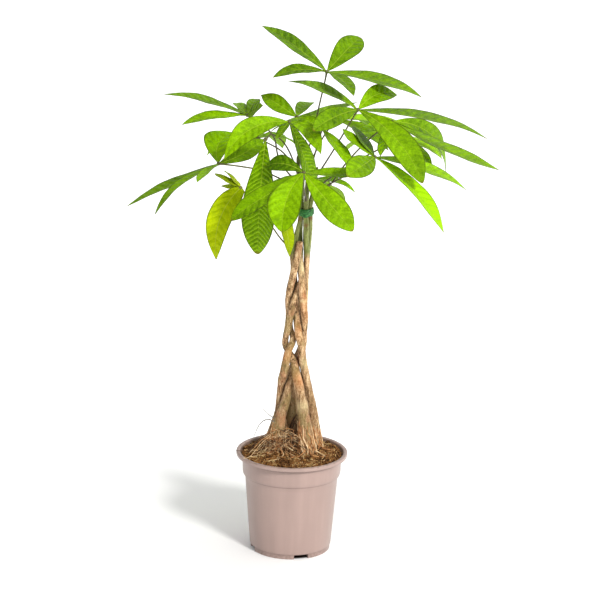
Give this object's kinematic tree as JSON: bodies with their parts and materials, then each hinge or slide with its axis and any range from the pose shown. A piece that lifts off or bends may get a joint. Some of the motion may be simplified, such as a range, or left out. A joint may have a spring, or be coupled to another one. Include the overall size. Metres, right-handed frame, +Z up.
{
  "type": "potted money tree",
  "caption": "Braided money tree in a tapered nursery pot: twined bare trunks, a green tie and an umbrella of palmate leaves on long stalks.",
  "frame": {"origin": "centre of the pot's underside, on the ground", "axes": "+Z up along the pot's axis and the trunks; -Y faces the camera of the picture; +X to its right"},
  "size_m": [0.6115, 0.4794, 0.886],
  "materials": {
    "pot": "satin moulded plastic, pale clay colour",
    "soil": "loose fibrous potting compost",
    "bark": "thin tan bark with greenish patches",
    "green_stem": "smooth grey-green skin",
    "tie": "matt green tape",
    "leaf": "glossy living leaf, bright to deep green",
    "young_leaf": "soft young leaf, yellow-green"
  },
  "bodies": {
    "root": {"pot": "pot", "soil": "soil", "trunk_1": "bark", "trunk_2": "bark", "trunk_3": "bark", "trunk_4": "bark", "trunk_5": "bark", "shoot_2": "green_stem", "shoot_3": "green_stem", "shoot_4": "green_stem", "shoot_5": "green_stem", "tie": "tie", "leaf_top": "leaf", "leaf_upper_right": "leaf", "leaf_far_right": "leaf", "leaf_right": "leaf", "leaf_front": "leaf", "leaf_hanging": "leaf", "leaf_left_front": "leaf", "leaf_upper_middle": "leaf", "leaf_far_left": "leaf", "leaf_upper_left": "leaf", "leaf_low_left": "young_leaf", "leaf_middle": "leaf", "leaf_low_small": "young_leaf", "leaf_back_upper": "leaf", "leaf_back_left": "leaf", "leaf_back_low": "leaf", "leaf_back_right": "leaf"}
  },
  "joints": []
}
